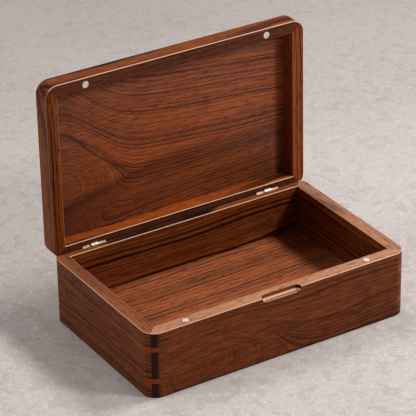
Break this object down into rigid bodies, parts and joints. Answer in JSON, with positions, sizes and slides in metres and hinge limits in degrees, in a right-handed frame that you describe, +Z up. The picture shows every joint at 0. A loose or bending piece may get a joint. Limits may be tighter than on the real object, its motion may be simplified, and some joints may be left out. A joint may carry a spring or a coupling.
{
  "type": "wooden box",
  "caption": "Rectangular wooden box with a hinged framed lid, an open tray inside, keyed mitred corners, a finger scoop and a magnetic catch.",
  "frame": {"origin": "centre of the base's underside, on the surface that the box stands on", "axes": "+X to the right along the box's length, +Y to the back where the hinges are, +Z up; the lid is stored open"},
  "size_m": [0.28, 0.1927, 0.2387],
  "materials": {
    "walnut": "satin lacquered walnut",
    "walnut_panel": "satin lacquered figured walnut",
    "key_wood": "satin lacquered lighter wood",
    "nickel": "polished nickel plate",
    "hinge_metal": "polished pale metal"
  },
  "bodies": {
    "base": {"front_wall": "walnut", "back_wall": "walnut", "left_wall": "walnut", "right_wall": "walnut", "bottom_panel": "walnut_panel", "front_left_keys": "key_wood", "front_right_keys": "key_wood", "back_left_keys": "key_wood", "back_right_keys": "key_wood", "base_magnets": "nickel", "left_hinge_base_leaf": "hinge_metal", "right_hinge_base_leaf": "hinge_metal", "left_hinge_pin": "hinge_metal", "right_hinge_pin": "hinge_metal", "base_hinge_screws": "hinge_metal"},
    "lid": {"lid_front_rail": "walnut", "lid_back_rail": "walnut", "lid_left_rail": "walnut", "lid_right_rail": "walnut", "lid_panel": "walnut_panel", "lid_strike_discs": "nickel", "lid_strike_screws": "nickel", "left_hinge_lid_leaf": "hinge_metal", "right_hinge_lid_leaf": "hinge_metal", "lid_hinge_screws": "hinge_metal"}
  },
  "joints": [
    {"name": "lid_hinge", "type": "hinge", "parent": "base", "child": "lid", "pos_m": [0, 0.083, 0.0672], "axis": [-1, 0, 0], "range_deg": [-90.5, 0]}
  ]
}
